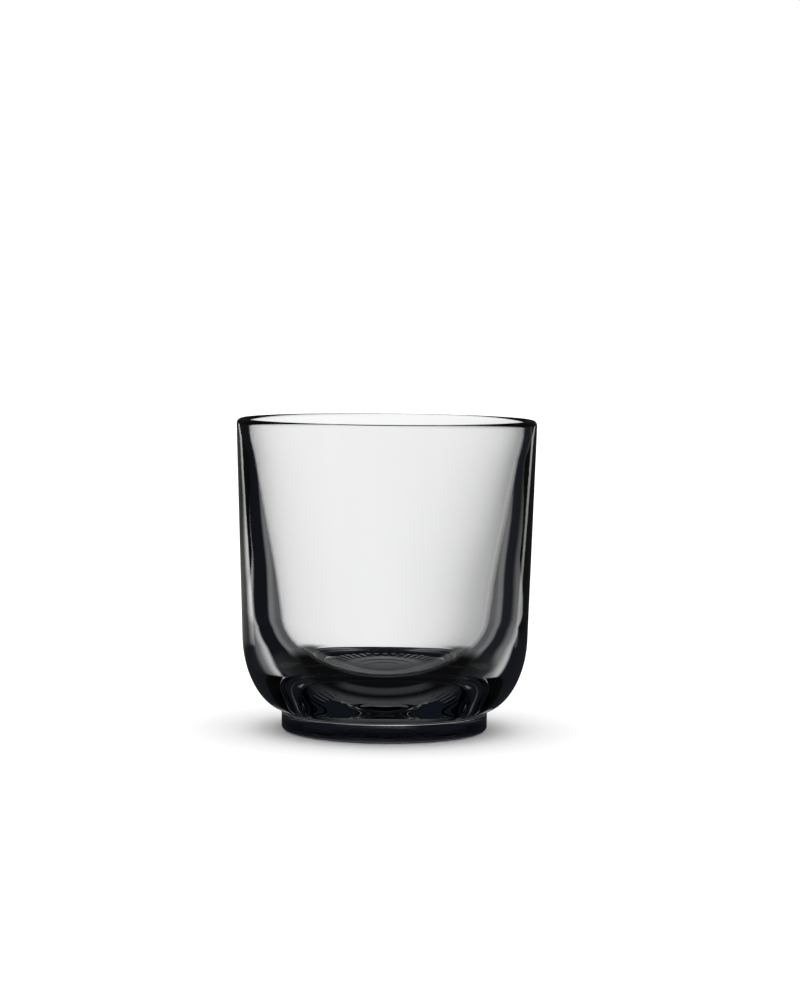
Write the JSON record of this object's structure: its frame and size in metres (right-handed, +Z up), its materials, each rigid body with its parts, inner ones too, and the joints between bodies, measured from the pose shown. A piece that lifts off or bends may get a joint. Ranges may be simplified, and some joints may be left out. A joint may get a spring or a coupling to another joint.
{
  "type": "whiskey tumbler",
  "caption": "Press-moulded whiskey tumbler in clear glass with a faint smoke-grey tint: a thick tapering wall, a rounded shoulder and a small stepped foot.",
  "frame": {"origin": "centre of the foot's resting plane, on the glass's axis", "axes": "+Z up along the glass's axis of revolution, from the foot to the lip; X and Y are any two level directions, because the glass is round"},
  "size_m": [0.0852, 0.0852, 0.0884],
  "materials": {
    "smoke_glass": "fire-polished clear glass with a faint neutral smoke-grey tint that shows only in its thick parts"
  },
  "bodies": {
    "root": {"glass_body": "smoke_glass"}
  },
  "joints": []
}
